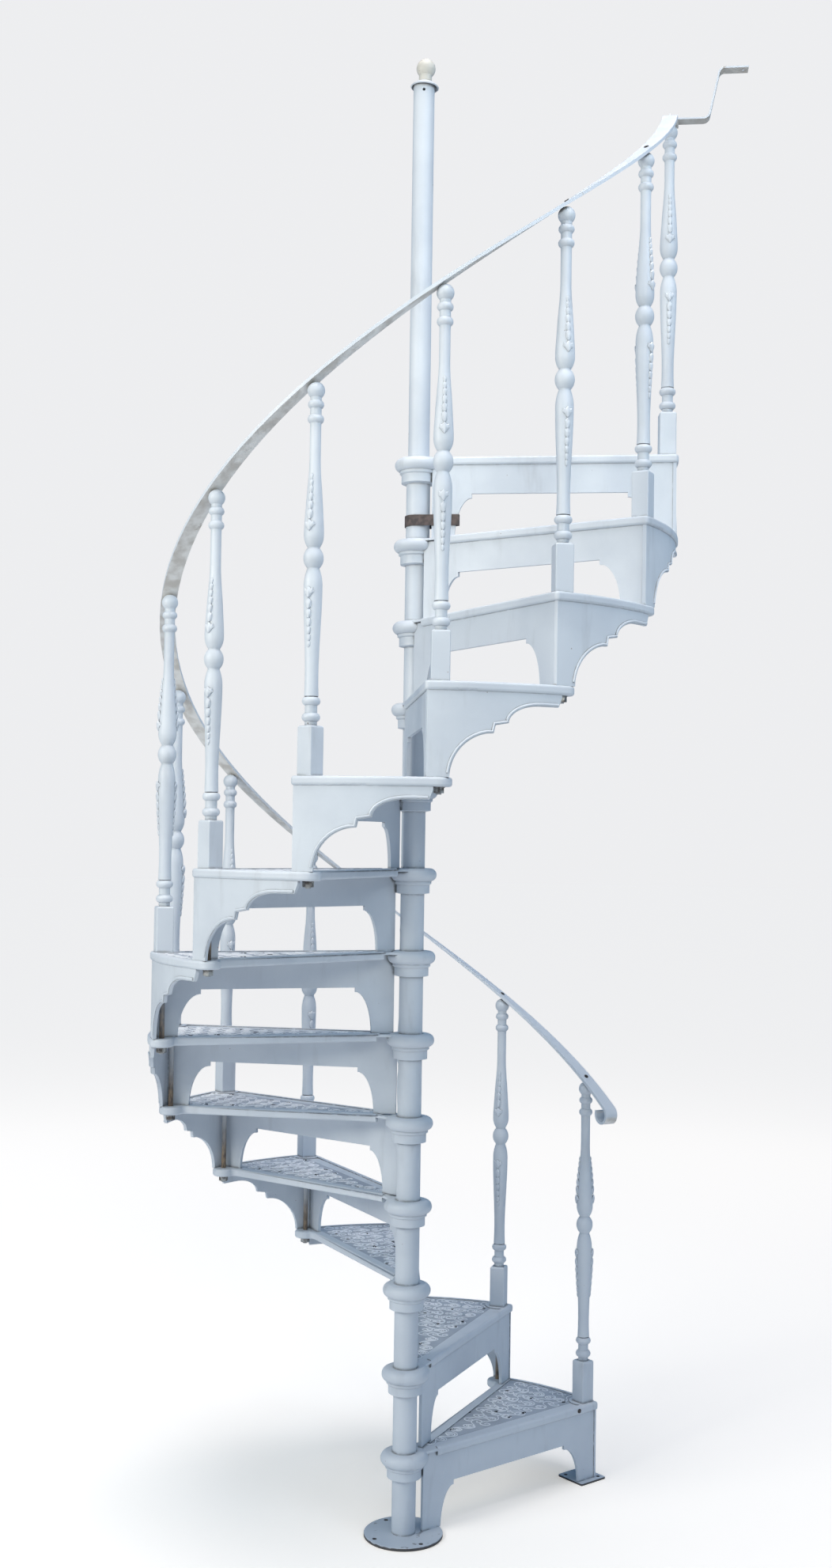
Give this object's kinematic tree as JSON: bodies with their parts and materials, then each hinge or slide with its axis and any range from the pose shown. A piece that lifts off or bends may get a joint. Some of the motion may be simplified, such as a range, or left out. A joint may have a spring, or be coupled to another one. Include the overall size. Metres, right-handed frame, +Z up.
{
  "type": "spiral staircase",
  "caption": "White painted cast spiral staircase: wedge treads on arched risers stacked round a pole, curved rim brackets, turned balusters and a flat bar handrail wound over their balls.",
  "frame": {"origin": "on the pole's axis, at the underside of the base flange, which stands on the ground", "axes": "+Z up along the pole. The stair climbs counterclockwise seen from above. +X points to the pictured view's right and +Y away from it; the first baluster stands 39.2 degrees from +X towards +Y."},
  "size_m": [1.4149, 1.26, 3.5961],
  "materials": {
    "white_paint": "white satin paint over cast iron, chipped and dirty at the joints",
    "foot_paint": "thin white paint worn to dark grey at the edges",
    "cream_paint": "cream gloss paint, slightly uneven",
    "rail_paint": "white satin paint on top, grey brown and dirty underneath",
    "strip_paint": "white satin paint over steel strip, worn at the bends",
    "rod_steel": "bare steel rod with a tan brown film of rust",
    "nut_steel": "plain dull zinc steel",
    "strap_steel": "dark brown rusted steel band"
  },
  "bodies": {
    "root": {"base_flange": "foot_paint", "foot_plate": "foot_paint", "newel_pole": "white_paint", "step_01": "white_paint", "step_02": "white_paint", "step_03": "white_paint", "step_04": "white_paint", "step_05": "white_paint", "step_06": "white_paint", "step_07": "white_paint", "step_08": "white_paint", "step_09": "white_paint", "step_10": "white_paint", "step_11": "white_paint", "step_12": "white_paint", "step_13": "white_paint", "tie_rods": "rod_steel", "rod_nuts": "nut_steel", "baluster_01": "white_paint", "baluster_02": "white_paint", "baluster_03": "white_paint", "baluster_04": "white_paint", "baluster_05": "white_paint", "baluster_06": "white_paint", "baluster_07": "white_paint", "baluster_08": "white_paint", "baluster_09": "white_paint", "baluster_10": "white_paint", "baluster_11": "white_paint", "baluster_12": "white_paint", "baluster_13": "white_paint", "handrail": "rail_paint", "gooseneck": "strip_paint", "column_strap": "strap_steel", "pole_cap": "white_paint", "finial_ball": "cream_paint"}
  },
  "joints": []
}
